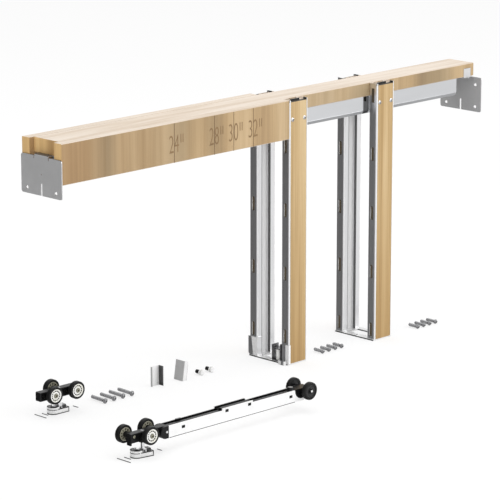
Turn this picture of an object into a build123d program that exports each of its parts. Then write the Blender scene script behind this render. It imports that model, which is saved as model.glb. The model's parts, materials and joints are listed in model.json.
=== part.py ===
"""Pocket door frame: a timber header with a hanging track, two pairs of split studs and the loose fittings.

Millimetres. X runs along the wall from the doorway to the pocket, Y across the wall, Z up.
The origin is on the floor, on the wall's centre plane, in the middle of the first pair of studs,
which is the mouth of the pocket.
"""
import os

from build123d import *

# Header
header_top = 443.5
header_width = 89.4
fascia_height = 63.8
fascia_length = 490.5
board_width = 55.7
board_thickness = 22.5
board_setback = 9.5
pocket_length = 478.0
edge_break = 0.8

# Track under the board
track_width = 54.8
track_height = 29.1
track_wall = 1.8
track_lip_height = 5.2
track_lip_inset = 2.5
track_slot = 18.0
track_slot_reach = 7.0
track_end_gap = 44.0
track_line = 0.8

# End brackets
bracket_width = 92.0
bracket_height = 60.6
bracket_sheet = 1.6
bracket_drop = 25.1
bracket_corner = 4.0
bracket_hole = 5.5
bracket_hole_edge = 13.2
bracket_hole_foot = 8.8
nail_hole = 2.4
nail_hole_drop = 27.4
bracket_slot_width = 3.2
bracket_slot_height = 19.0
tab_width = 31.0
tab_length = 44.0
relief_width = 2.0
relief_depth = 4.0
ear_start = 7.3
ear_length = 18.0
ear_height = 14.5
notch_clearance = 0.5
notch_depth = 4.0

# Split studs
stud_width = 43.4
stud_depth = 17.2
stud_gap_above = 0.5
stud_spacing = 210.0
stud_sheet = 1.2
stud_corner = 2.6
stud_lip = 3.0
groove_width = 20.0
groove_depth = 6.5
wood_clearance = 0.2
wood_face_clearance = 0.5
wood_recess = 3.0
nail_slot_length = 24.0
nail_slot_width = 6.0
nail_slots = 4
nail_slot_first = (46.0, 16.5)
nail_slot_pitch = (106.4, 101.5)

# Floor plates, foot clips and the guide at the mouth
plate_sheet = 2.0
plate_margin = 2.3
plate_corner = 2.0
window_length = 22.0
window_width = 44.0
floor_hole = 4.5
floor_hole_pitch = 34.0
clip_sheet = 1.5
clip_height = 32.0
clip_return = 9.0
clip_overhang = 1.5
clip_corner = 3.0
near_clip_width = 12.5
near_clip_return = 3.0
toe_length = 5.0
toe_width = 14.0
toe_height = 7.0
guide_length = 15.0
guide_height = 30.0
guide_leaf_height = 27.0
guide_sheet = 1.5
guide_width = 20.0
guide_roller_radius = 5.0
guide_roller_height = 18.0
guide_pin_radius = 1.5

# Wheels
wheel_radius = 14.0
wheel_width = 8.0
wheel_centre = 35.0
hub_radius = 10.4
hub_recess = 1.0
hub_dish = (4.7, 8.5)
tyre_round = 1.0
axle_radius = 2.5
axle_clearance = 0.05
axle_head_radius = 3.2
axle_head = 1.0
side_clearance = 0.3
row_offset = 17.6
boss_radius = 5.0
hanger_pitch = 44.0

# Hanger bodies, bolts and door brackets
body_width = 13.0
body_bottom = 25.5
body_top = 39.7
body_round = 2.5
body_chamfer = 0.8
leg_thickness = 3.5
leg_drop = 4.0
neck_radius = 6.2
neck_drop = 3.5
bolt_radius = 3.0
nut_across = 10.0
nut_height = 4.5
plate_bar_height = 8.4
plate_bar_width = 19.4
plate_bar_ends = (-23.5, 13.5)
plate_bar_sheet = 1.5
plate_rim_height = 15.5
plate_rim_end = -8.0
latch_ends = (6.5, 12.5)
latch_width = 8.0
latch_height = 4.5
hanger_a = (-460.9, 29.8)
hanger_a_turn = -2.0
hanger_a_ends = (-41.5, 32.0)
bracket_a_turn = 0.0
hanger_b = (-520.0, -224.1)
hanger_b_turn = -1.5
hanger_b_ends = (-28.5, 26.0)
bracket_b_turn = -10.0

# Soft-close arm
housing_start = 43.5
housing_length = 284.0
housing_bottom = 19.8
housing_height = 19.0
housing_width = 20.0
housing_wall = 1.6
nose_gap = 1.9
tongue_width = 11.0
tongue_height = 8.0
rail_drop = 0.3
rail_clearance = 0.2
groove_sides = (-0.5, 7.0)
groove_reach = 6.0
catch_shares = (0.387, 0.611)
catch_height = 3.2
arm_window_length = 5.0
arm_window_height = 3.5
arm_windows = ((0.103, 11.8), (0.419, 17.6), (0.586, 17.5), (0.899, 10.8))
knob_share = 0.923
knob_side = -1.7
knob_radius = (6.2, 4.0)
knob_height = 4.7
stop_share = 0.094
stop_side = 4.0
stop_size = (9.0, 3.0, 2.6)
truck_offset = 4.0
truck_back = 9.0
truck_round = 14.5
truck_rise = 3.3
truck_front = 10.0
rear_wheel_radius = 14.2

# Loose guides, bumpers, screws and nails on the floor
loose_guide_height = 33.0
loose_guide_web = 16.5
loose_guide_leg = 13.0
loose_guide_lip = 4.5
loose_guide_sheet = 1.2
loose_guides = ((-257.5, 30.0, 0.0, 0.0), (-209.5, 22.5, 90.0, 9.0))
bumper_head_radius = 4.6
bumper_head_length = 7.0
bumper_stem_radius = 3.4
bumper_stem_length = 9.0
bumpers = ((-162.9, 28.0), (-139.4, 29.0))
screw_head_height = 3.4
screw_radius = 2.9
screw_point = 2.2
screw_tip = 1.0
screw_groups = (
    (-378.4, 44.4, 19.1, 37.0, 4.4),
    (70.5, -16.0, 15.5, 23.5, 3.9),
    (299.7, -25.0, 15.5, 24.5, 3.9),
)
screws_in_group = 4
screw_turn = 3.0
nail_radius = 0.7
nails = (
    (-497.5, 44.2, 27.0),
    (-486.0, 40.0, 14.0),
    (-425.2, 36.1, 12.0),
    (-557.0, -208.4, 29.0),
    (-546.0, -212.0, 14.0),
    (-484.4, -217.8, 10.0),
)

# Places that follow from the sizes above
doorway_end = -stud_width / 2 - fascia_length
pocket_end = -stud_width / 2 + pocket_length
board_start = doorway_end + board_setback
board_bottom = header_top - board_thickness
board_side = board_width / 2
fascia_depth = (header_width - board_width) / 2
track_bottom = board_bottom - track_height
bracket_top = header_top - bracket_drop
bracket_bottom = bracket_top - bracket_height
bend_radius = board_bottom - bracket_top
track_start = doorway_end + track_end_gap
track_stop = pocket_end - track_end_gap
stud_bottom = plate_sheet
stud_top = header_top - stud_gap_above
stud_length = stud_top - stud_bottom
stud_outside = board_side + stud_depth
stud_places = (0.0, stud_spacing)
truck_centre = housing_start + housing_length + truck_offset
arm_inside = housing_width / 2 - housing_wall
housing_top = housing_bottom + housing_height
low = (Align.CENTER, Align.CENTER, Align.MIN)
side_plane = Plane.YZ


def block(x, y, z):
    """A box between two x, two y and two z values."""
    return Pos(sum(x) / 2, sum(y) / 2, sum(z) / 2) * Box(x[1] - x[0], y[1] - y[0], z[1] - z[0])


def across_bar(radius, y, x=0.0, z=0.0):
    """A round bar along Y between two y values."""
    return Pos(x, sum(y) / 2, z) * Rot(90, 0, 0) * Cylinder(radius, y[1] - y[0])


# Header: the board, its two fascias and the track

def header_board():
    board = block((board_start, pocket_end), (-board_side, board_side), (board_bottom, header_top))
    board = chamfer(board.edges().filter_by(Axis.X), edge_break)
    ear_end = pocket_end - ear_start
    notch_x = (ear_end - ear_length - notch_clearance, ear_end + notch_clearance)
    notch_z = (board_bottom, board_bottom + ear_height + notch_clearance)
    for side in (-1, 1):
        depth = sorted((side * board_side, side * (board_side - notch_depth)))
        board -= block(notch_x, depth, notch_z)
    return board


def fascia(side):
    inner = side * board_side
    outer = side * (board_side + fascia_depth)
    x = (doorway_end, doorway_end + fascia_length)
    plank = block(x, sorted((inner, outer)), (header_top - fascia_height, header_top))
    outer_edges = plank.edges().filter_by(Axis.X).filter_by(lambda e: abs(e.center().Y - outer) < edge_break)
    return chamfer(outer_edges, edge_break)


def track():
    half = track_width / 2
    lip_top = track_bottom + track_lip_height
    outline = Polyline(
        (-half, board_bottom),
        (half, board_bottom),
        (half, lip_top),
        (half - track_lip_inset, track_bottom),
        (track_lip_inset - half, track_bottom),
        (-half, lip_top),
        close=True,
    )
    outside = make_face(outline)
    inside = offset(outside, amount=-track_wall, kind=Kind.INTERSECTION)
    slot = Pos(0, track_bottom) * Rectangle(track_slot, track_slot_reach)
    lines = [Pos(side * half, lip_top + track_line) * Rectangle(track_line, track_line) for side in (-1, 1)]
    section = outside - inside - slot - lines[0] - lines[1]
    return Pos(track_start, 0, 0) * extrude(side_plane * section, amount=track_stop - track_start)


# End brackets

def bracket_plate(top_holes, nail_hole_radius):
    """The upright sheet of a bracket, from its outer face at x = 0 to its inner face at x = bracket_sheet."""
    middle = (bracket_top + bracket_bottom) / 2
    hole_y = bracket_width / 2 - bracket_hole_edge
    face = Pos(0, middle) * RectangleRounded(bracket_width, bracket_height, bracket_corner)
    slot_middle = bracket_bottom + bracket_slot_height / 2
    slot = Pos(0, slot_middle) * Rectangle(bracket_slot_width, bracket_slot_height)
    face -= slot
    if nail_hole_radius:
        face -= Pos(0, bracket_top - nail_hole_drop) * Circle(nail_hole_radius)
    relief_y = tab_width / 2 + relief_width / 2
    heights = [bracket_bottom + bracket_hole_foot]
    if top_holes:
        heights.append(bracket_top - bracket_hole_edge)
    for side in (-1, 1):
        face -= Pos(side * relief_y, bracket_top) * Rectangle(relief_width, 2 * relief_depth)
        for height in heights:
            face -= Pos(side * hole_y, height) * Circle(bracket_hole / 2)
    return extrude(side_plane * face, amount=bracket_sheet)


def bracket_tab():
    """The tongue that bends over from the top of the plate and lies under the board."""
    inner = bend_radius - bracket_sheet
    corner = Pos(-bend_radius / 2, bend_radius / 2) * Rectangle(bend_radius, bend_radius)
    bend = Circle(bend_radius) - Circle(inner)
    quarter = Pos(bend_radius, bracket_top) * (bend & corner)
    flat_length = tab_length - bend_radius
    flat = Pos(bend_radius + flat_length / 2, board_bottom - bracket_sheet / 2)
    section = quarter + flat * Rectangle(flat_length, bracket_sheet)
    return Pos(0, tab_width / 2, 0) * extrude(Plane.XZ * section, amount=tab_width)


def bracket_ears():
    """Two ears folded up beside the board, on a strip that crosses under it."""
    x = (bracket_sheet + ear_start, bracket_sheet + ear_start + ear_length)
    ears = block(x, (-board_side, board_side), (board_bottom - bracket_sheet, board_bottom))
    for side in (-1, 1):
        y = sorted((side * board_side, side * (board_side - bracket_sheet)))
        ears += block(x, y, (board_bottom - bracket_sheet, board_bottom + ear_height))
    return ears


def doorway_bracket():
    return Pos(doorway_end - bracket_sheet, 0, 0) * (bracket_plate(False, nail_hole / 2) + bracket_tab())


def pocket_bracket():
    bracket = bracket_plate(True, 0) + bracket_tab() + bracket_ears()
    return Pos(pocket_end + bracket_sheet, 0, 0) * mirror(bracket, about=Plane.YZ)


# Split studs: a folded steel channel with a wood strip inside

def channel_section():
    """Section of a channel with its web on y = 0 and its open front towards +Y."""
    outside = RectangleRounded(stud_width, stud_depth, stud_corner)
    inner_corner = stud_corner - stud_sheet
    inside = RectangleRounded(stud_width - 2 * stud_sheet, stud_depth - 2 * stud_sheet, inner_corner)
    groove = Pos(0, groove_depth / 2 - stud_depth / 2) * Rectangle(groove_width, groove_depth)
    ridge_width = groove_width + 2 * stud_sheet
    ridge_height = groove_depth + stud_sheet
    ridge = Pos(0, ridge_height / 2 - stud_depth / 2) * Rectangle(ridge_width, ridge_height)
    front = Pos(0, stud_depth / 2) * Rectangle(stud_width - 2 * stud_lip, 2 * stud_corner)
    return Pos(0, stud_depth / 2) * (outside - (inside - ridge) - groove - front)


def strip_section():
    """Section of the wood strip that fills the channel and comes flush with its lips."""
    gap = stud_sheet + wood_clearance
    filling = RectangleRounded(stud_width - 2 * gap, stud_depth - 2 * gap, stud_corner - stud_sheet)
    ridge_width = groove_width + 2 * gap
    ridge_height = groove_depth + gap
    ridge = Pos(0, ridge_height / 2 - stud_depth / 2) * Rectangle(ridge_width, ridge_height)
    face_width = stud_width - 2 * stud_lip - 2 * wood_face_clearance
    face = Pos(0, stud_depth / 4) * Rectangle(face_width, stud_depth / 2)
    return Pos(0, stud_depth / 2) * (filling - ridge + face)


def placed_half(solid, pair, side):
    """Puts a stud half, made with its web on y = 0, against one side of the board."""
    turned = solid if side > 0 else Rot(0, 0, 180) * solid
    return Pos(stud_places[pair], side * board_side, stud_bottom) * turned


def stud_channel(pair, side):
    channel = extrude(channel_section(), amount=stud_length)
    for count in range(nail_slots):
        height = nail_slot_first[pair] + count * nail_slot_pitch[pair]
        slot = Plane.YZ * Rot(0, 0, 90) * SlotOverall(nail_slot_length, nail_slot_width)
        for wall in (-1, 1):
            cut = extrude(slot, amount=stud_corner, both=True)
            channel -= Pos(wall * stud_width / 2, stud_depth / 2, height) * cut
    return placed_half(channel, pair, side)


def stud_strip(pair, side):
    return placed_half(extrude(strip_section(), amount=stud_length - wood_recess), pair, side)


# Floor plates, foot clips and the guide at the pocket's mouth

def floor_plate(pair):
    """A plate as wide as the two stud halves, which shows a margin towards the doorway only."""
    outline = RectangleRounded(stud_width + plate_margin, 2 * stud_outside, plate_corner)
    sheet = Pos(-plate_margin / 2, 0) * outline - Rectangle(window_length, window_width)
    for x in (-1, 1):
        sheet -= Pos(x * floor_hole_pitch / 2, 0) * Circle(floor_hole / 2)
    return Pos(stud_places[pair], 0, 0) * extrude(sheet, amount=plate_sheet)


def foot_clip_far():
    """An angle that stands on the first floor plate and laps the doorway side of the far stud's foot."""
    face_x = -stud_width / 2
    inner_y = board_side - clip_sheet
    outer_y = stud_outside + clip_overhang
    z = (plate_sheet, plate_sheet + clip_height)
    clip = block((face_x - clip_sheet, face_x), (inner_y, outer_y), z)
    clip += block((face_x - clip_sheet, face_x + clip_return), (inner_y, board_side), z)
    corner = clip.edges().filter_by(Axis.X).sort_by(lambda e: e.center().Y - e.center().Z)[-1]
    return chamfer(corner, clip_corner)


def foot_clip_near():
    """The near stud's clip: an upright strip on its outer corner, with a toe in front of the floor plate."""
    face_x = -stud_width / 2
    outer_y = -stud_outside - clip_overhang
    z = (plate_sheet, plate_sheet + clip_height)
    clip = block((face_x - clip_sheet, face_x), (outer_y, outer_y + near_clip_width), z)
    clip += block((face_x - clip_sheet, face_x + near_clip_return), (outer_y, -stud_outside), z)
    front = face_x - plate_margin
    foot_y = (-board_side - toe_width, -board_side)
    clip += block((front, face_x), foot_y, (plate_sheet, plate_sheet + clip_sheet))
    clip += block((front - toe_length, front), foot_y, (0, toe_height))
    return clip


def guide_frame():
    """A small cradle on the floor plate, open towards the doorway, with a roller that guides the door."""
    wall_y = clip_sheet - board_side
    open_y = wall_y + guide_width
    x = (-stud_width / 2, guide_length - stud_width / 2)
    z_low = plate_sheet
    cradle = block(x, (wall_y, open_y), (z_low, z_low + guide_sheet))
    cradle += block(x, (wall_y, wall_y + guide_sheet), (z_low, z_low + guide_height))
    cradle += block(x, (open_y - guide_sheet, open_y), (z_low, z_low + guide_leaf_height))
    roof = z_low + guide_sheet + guide_roller_height + 2 * side_clearance
    cradle += block(x, (wall_y, open_y), (roof, roof + guide_sheet))
    pin = Pos(sum(x) / 2, (wall_y + open_y) / 2, z_low)
    cradle += pin * Cylinder(guide_pin_radius, roof - z_low, align=low)
    return cradle


def guide_roller():
    wall_y = clip_sheet - board_side
    centre_x = guide_length / 2 - stud_width / 2
    centre_y = wall_y + guide_width / 2
    ring = Circle(guide_roller_radius) - Circle(guide_pin_radius + axle_clearance)
    base = plate_sheet + guide_sheet + side_clearance
    return Pos(centre_x, centre_y, base) * extrude(ring, amount=guide_roller_height)


# Wheels: each is made about its own axle, which lies along Y

def tyre(radius):
    ring = across_bar(radius, (-wheel_width / 2, wheel_width / 2))
    ring = fillet(ring.edges(), tyre_round)
    return ring - across_bar(hub_radius, (-wheel_width, wheel_width))


def hub():
    half = wheel_width / 2
    disc = across_bar(hub_radius, (-half, half))
    dish = Circle(hub_dish[1]) - Circle(hub_dish[0])
    for side in (-1, 1):
        cut = extrude(Plane.XZ * dish, amount=hub_recess, both=True)
        disc -= Pos(0, side * half, 0) * cut
    return disc - across_bar(axle_radius + axle_clearance, (-wheel_width, wheel_width))


def axle(side):
    """The boss, axle and rivet head that carry one wheel beside a body."""
    start = body_width / 2 - side_clearance
    boss_end = row_offset - wheel_width / 2 - side_clearance
    head_start = row_offset + wheel_width / 2 + side_clearance
    stub = across_bar(boss_radius, (start, boss_end))
    stub += across_bar(axle_radius, (boss_end, head_start))
    stub += across_bar(axle_head_radius, (head_start, head_start + axle_head))
    return stub if side > 0 else mirror(stub, about=Plane.XZ)


wheel_rows_a = ((-hanger_pitch / 2, -1), (hanger_pitch / 2, -1), (0.0, 1))
wheel_rows_b = ((-hanger_pitch / 2, 1), (hanger_pitch / 2, 1), (0.0, -1))
wheel_rows_rear = ((truck_centre, -1), (truck_centre, 1))


def at_hanger(solid, place, turn):
    return Pos(place[0], place[1], 0) * Rot(0, 0, turn) * solid


def placed_wheel(solid, row):
    return Pos(row[0], row[1] * row_offset, wheel_centre) * solid


# Hanger bodies, their bolts and the brackets for the door

def hanger_body(ends, rows, leg):
    middle = sum(ends) / 2
    plan = RectangleRounded(ends[1] - ends[0], body_width, body_round)
    body = Pos(middle, 0, body_bottom) * extrude(plan, amount=body_top - body_bottom)
    body = chamfer(body.edges().group_by(Axis.Z)[0] + body.edges().group_by(Axis.Z)[-1], body_chamfer)
    if leg:
        half = body_width / 2 - body_round
        z = (body_bottom - leg_drop, body_bottom + body_round)
        body += block((ends[0] + body_chamfer, ends[0] + leg_thickness), (-half, half), z)
    neck_foot = body_bottom - neck_drop
    body += Pos(0, 0, neck_foot) * Cylinder(neck_radius, neck_drop, align=low)
    for x, side in rows:
        body += Pos(x, 0, wheel_centre) * axle(side)
    return body - Pos(0, 0, neck_foot) * Cylinder(bolt_radius, body_top - neck_foot, align=low)


def hanger_bolt():
    outline = RegularPolygon(nut_across / 2, 6, major_radius=False)
    head = Pos(0, 0, plate_bar_height) * extrude(outline, nut_height)
    reach = body_top - plate_bar_height
    return head + Pos(0, 0, plate_bar_height) * Cylinder(bolt_radius, reach, align=low)


def door_bracket():
    """A low steel box, round at one end, with a rim about that end and a latch at the other."""
    left, right = plate_bar_ends
    radius = plate_bar_width / 2
    nose = Pos(left + radius, 0) * Circle(radius)
    rest = Pos((left + radius + right) / 2, 0) * Rectangle(right - left - radius, plate_bar_width)
    outside = nose + rest
    inside = offset(outside, amount=-plate_bar_sheet, kind=Kind.INTERSECTION)
    hollow = extrude(inside, amount=plate_bar_height - plate_bar_sheet)
    box = extrude(outside, amount=plate_bar_height) - hollow
    keep = Pos((left + plate_rim_end) / 2, 0) * Rectangle(plate_rim_end - left, plate_bar_width)
    rim = extrude((outside - inside) & keep, amount=plate_rim_height)
    half = latch_width / 2
    latch = block(latch_ends, (-half, half), (plate_bar_height, plate_bar_height + latch_height))
    return box + rim + latch


# Soft-close arm behind the second hanger

def arm_front():
    """The block between the hanger and the housing, with a round nose."""
    radius = housing_height / 2
    start = hanger_b_ends[1]
    nose_x = start + nose_gap + radius
    middle_z = housing_bottom + radius
    y = housing_width / 2
    rest = Pos(radius / 2, 0) * Rectangle(radius, 2 * radius)
    section = Pos(nose_x, middle_z) * (Circle(radius) + rest)
    keep = Pos((start + housing_start) / 2, middle_z) * Rectangle(housing_start - start, 2 * radius)
    front = Pos(0, y, 0) * extrude(Plane.XZ * (section & keep), amount=2 * y)
    half = tongue_width / 2
    return front + block((start, nose_x), (-half, half), (housing_top - tongue_height, housing_top))


def truck_circle(radius):
    """A round bar across the arm, about the line that the truck's rounded end follows."""
    y = (-housing_width, housing_width)
    return across_bar(radius, y, truck_centre - truck_back, wheel_centre + truck_rise)


def arm_housing():
    """An open channel, whose side walls stand higher beside the catch."""
    x = (housing_start, housing_start + housing_length)
    y = housing_width / 2
    shell = block(x, (-y, y), (housing_bottom, housing_top))
    catch_x = [housing_start + share * housing_length for share in catch_shares]
    shell += block(catch_x, (-y, y), (housing_top, housing_top + catch_height))
    shell -= block(x, (-arm_inside, arm_inside), (housing_bottom + housing_wall, housing_top + catch_height))
    for share, height in arm_windows:
        place = housing_start + share * housing_length
        half = arm_window_length / 2
        z_low = housing_bottom + height - arm_window_height / 2
        shell -= block((place - half, place + half), (-y, -arm_inside), (z_low, z_low + arm_window_height))
    return shell - truck_circle(truck_round + rail_clearance)


def arm_rail():
    """The rail that fills the housing's open top, with a groove, a stop and a knob."""
    x = (housing_start, housing_start + housing_length)
    inner = arm_inside - rail_clearance
    top = housing_top - rail_drop
    rail = block(x, (-inner, inner), (housing_bottom + housing_wall, top))
    rail -= block(x, groove_sides, (top - groove_reach, top))
    length, width, height = stop_size
    stop_x = housing_start + stop_share * housing_length
    stop_z = (top - groove_reach, top + height)
    rail += block((stop_x, stop_x + length), (stop_side - width / 2, stop_side + width / 2), stop_z)
    knob = Pos(housing_start + knob_share * housing_length, knob_side, top)
    rail += knob * Cone(knob_radius[0], knob_radius[1], knob_height, align=low)
    return rail - truck_circle(truck_round + rail_clearance)


def arm_catch():
    """The raised catch on the rail, between the higher parts of the housing's walls."""
    x = [housing_start + share * housing_length for share in catch_shares]
    inner = arm_inside - rail_clearance
    z = (housing_top - rail_drop, housing_top - rail_drop + catch_height)
    catch = block(x, (-inner, inner), z) - block(x, groove_sides, (z[0] + rail_drop, z[1]))
    return chamfer(catch.edges().group_by(Axis.Z)[-1].filter_by(Axis.Y), catch_height / 2)


def rear_truck():
    """The block at the arm's far end, rounded towards the housing, with the axles of its two wheels."""
    across = housing_width / 2
    back = truck_centre - truck_back
    middle_z = wheel_centre + truck_rise
    low_z = middle_z - truck_round
    outline = Pos(back, middle_z) * Circle(truck_round)
    outline &= Pos(back, (low_z + body_top) / 2) * Rectangle(2 * truck_round, body_top - low_z)
    keep = Rectangle(truck_round + truck_back, 2 * truck_round)
    outline &= Pos((back - truck_round + truck_centre) / 2, middle_z) * keep
    truck = Pos(0, across, 0) * extrude(Plane.XZ * outline, amount=2 * across)
    half = body_width / 2
    axle_block = block((back, truck_centre + truck_front), (-half, half), (body_bottom, body_top))
    truck += fillet(axle_block.edges().filter_by(Axis.Y), body_round)
    for place, side in wheel_rows_rear:
        truck += Pos(place, 0, wheel_centre) * axle(side)
    return truck


# Small loose fittings on the floor

def loose_guide(place):
    """A folded guide that stands on its end: a web with a deep leg and a short lip."""
    x, y, turn, lean = place
    web = Rectangle(loose_guide_web, loose_guide_sheet)
    half = loose_guide_web / 2
    shift = loose_guide_sheet / 2
    leg = Pos(half - shift, shift - loose_guide_leg / 2) * Rectangle(loose_guide_sheet, loose_guide_leg)
    lip = Pos(shift - half, shift - loose_guide_lip / 2) * Rectangle(loose_guide_sheet, loose_guide_lip)
    guide = Rot(lean, 0, 0) * extrude(web + leg + lip, amount=loose_guide_height)
    return Pos(x, y, -guide.bounding_box().min.Z) * Rot(0, 0, turn) * guide


def loose_bumper(place):
    stem = across_bar(bumper_stem_radius, (-bumper_stem_length, 0))
    head = across_bar(bumper_head_radius, (-bumper_stem_length - bumper_head_length, -bumper_stem_length))
    return Pos(place[0], place[1], bumper_head_radius) * (stem + head)


def loose_screw(length, head_radius):
    """A screw that lies on the edge of its head, with its tip at the origin and its head towards -Y."""
    shank = length - screw_head_height - screw_tip
    screw = Pos(0, -screw_tip / 2, 0) * Rot(90, 0, 0) * Cone(screw_point, screw_radius, screw_tip)
    screw += across_bar(screw_radius, (-screw_tip - shank, -screw_tip))
    screw += across_bar(head_radius, (-length, -length + screw_head_height))
    return Pos(0, 0, head_radius) * screw


def screw_row(group):
    x, y, pitch, length, head_radius = group
    row = [Pos(x + count * pitch, y, 0) * Rot(0, 0, -screw_turn) * loose_screw(length, head_radius)
           for count in range(screws_in_group)]
    return Compound(row)


def loose_nails():
    rods = [Pos(x, y, nail_radius) * across_bar(nail_radius, (-length, 0)) for x, y, length in nails]
    return Compound(rods)


def build():
    nodes = {
        "header_board": header_board(),
        "header_track": track(),
        "fascia_near": fascia(-1),
        "fascia_far": fascia(1),
        "doorway_bracket": doorway_bracket(),
        "pocket_bracket": pocket_bracket(),
    }
    for pair in (0, 1):
        for name, side in (("near", -1), ("far", 1)):
            nodes[f"stud_channel_{name}_{pair + 1}"] = stud_channel(pair, side)
            nodes[f"stud_strip_{name}_{pair + 1}"] = stud_strip(pair, side)
        nodes[f"floor_plate_{pair + 1}"] = floor_plate(pair)
    nodes["foot_clip_near"] = foot_clip_near()
    nodes["foot_clip_far"] = foot_clip_far()
    nodes["guide_frame"] = guide_frame()
    nodes["guide_roller"] = guide_roller()
    hangers = (
        ("a", hanger_a, hanger_a_turn, hanger_a_ends, wheel_rows_a, False, bracket_a_turn),
        ("b", hanger_b, hanger_b_turn, hanger_b_ends, wheel_rows_b, True, bracket_b_turn),
    )
    for name, place, turn, ends, rows, leg, bracket_turn in hangers:
        nodes[f"hanger_body_{name}"] = at_hanger(hanger_body(ends, rows, leg), place, turn)
        nodes[f"hanger_bolt_{name}"] = at_hanger(hanger_bolt(), place, turn)
        nodes[f"door_bracket_{name}"] = at_hanger(door_bracket(), place, turn + bracket_turn)
        for count, row in enumerate(rows, 1):
            nodes[f"tyre_{name}{count}"] = at_hanger(placed_wheel(tyre(wheel_radius), row), place, turn)
            nodes[f"hub_{name}{count}"] = at_hanger(placed_wheel(hub(), row), place, turn)
    arm = {
        "arm_front": arm_front(),
        "arm_housing": arm_housing(),
        "arm_rail": arm_rail(),
        "arm_catch": arm_catch(),
        "arm_truck": rear_truck(),
    }
    for count, row in enumerate(wheel_rows_rear, 1):
        wheel = tyre(rear_wheel_radius) + hub()
        arm[f"rear_wheel_{count}"] = placed_wheel(wheel, row)
    for name, solid in arm.items():
        nodes[name] = at_hanger(solid, hanger_b, hanger_b_turn)
    nodes["loose_guides"] = Compound([loose_guide(place) for place in loose_guides])
    nodes["loose_bumpers"] = Compound([loose_bumper(place) for place in bumpers])
    for name, group in zip(("loose_screws_left", "loose_screws_middle", "loose_screws_right"), screw_groups):
        nodes[name] = screw_row(group)
    nodes["loose_nails"] = loose_nails()
    return nodes


os.makedirs("parts", exist_ok=True)
model = build()
for node, solid in model.items():
    export_step(solid, f"parts/{node}.step")
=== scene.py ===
import json
from math import atan2, degrees, pi, radians

import bmesh
import bpy
from mathutils import Matrix, Vector


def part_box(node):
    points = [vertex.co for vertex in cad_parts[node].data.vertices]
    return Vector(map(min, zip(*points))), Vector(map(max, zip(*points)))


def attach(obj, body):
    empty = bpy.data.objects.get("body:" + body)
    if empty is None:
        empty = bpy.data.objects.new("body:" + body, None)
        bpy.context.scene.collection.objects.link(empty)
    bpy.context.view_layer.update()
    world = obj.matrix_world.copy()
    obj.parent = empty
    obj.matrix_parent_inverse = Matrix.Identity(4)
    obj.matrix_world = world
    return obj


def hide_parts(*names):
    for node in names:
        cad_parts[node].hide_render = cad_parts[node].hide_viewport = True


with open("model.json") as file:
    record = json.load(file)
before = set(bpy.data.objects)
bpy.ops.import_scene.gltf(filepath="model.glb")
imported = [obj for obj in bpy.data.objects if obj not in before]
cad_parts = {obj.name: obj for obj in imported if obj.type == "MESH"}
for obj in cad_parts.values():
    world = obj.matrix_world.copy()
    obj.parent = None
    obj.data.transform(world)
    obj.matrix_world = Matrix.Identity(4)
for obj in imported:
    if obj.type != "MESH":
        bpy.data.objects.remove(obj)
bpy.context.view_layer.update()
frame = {"nodes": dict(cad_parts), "record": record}
nodes = frame["nodes"]
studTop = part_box("stud_channel_near_1")[1].z
print("frame loaded:", len(nodes), "nodes")


# shader maths: a Wire is a socket that can be used in sums
class Wire:
    def __init__(self, finish, socket):
        self.finish = finish
        self.socket = socket

    def join(self, operation, first, second):
        return self.finish.node("Math", {"operation": operation}, {0: first, 1: second})

    def __add__(self, other):
        return self.join("ADD", self, other)

    def __sub__(self, other):
        return self.join("SUBTRACT", self, other)

    def __rsub__(self, other):
        return self.join("SUBTRACT", other, self)

    def __mul__(self, other):
        return self.join("MULTIPLY", self, other)

    def __gt__(self, other):
        return self.join("GREATER_THAN", self, other)

    def __lt__(self, other):
        return self.join("LESS_THAN", self, other)

    def __abs__(self):
        return self.finish.node("Math", {"operation": "ABSOLUTE"}, {0: self})

    __radd__ = __add__
    __rmul__ = __mul__


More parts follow.
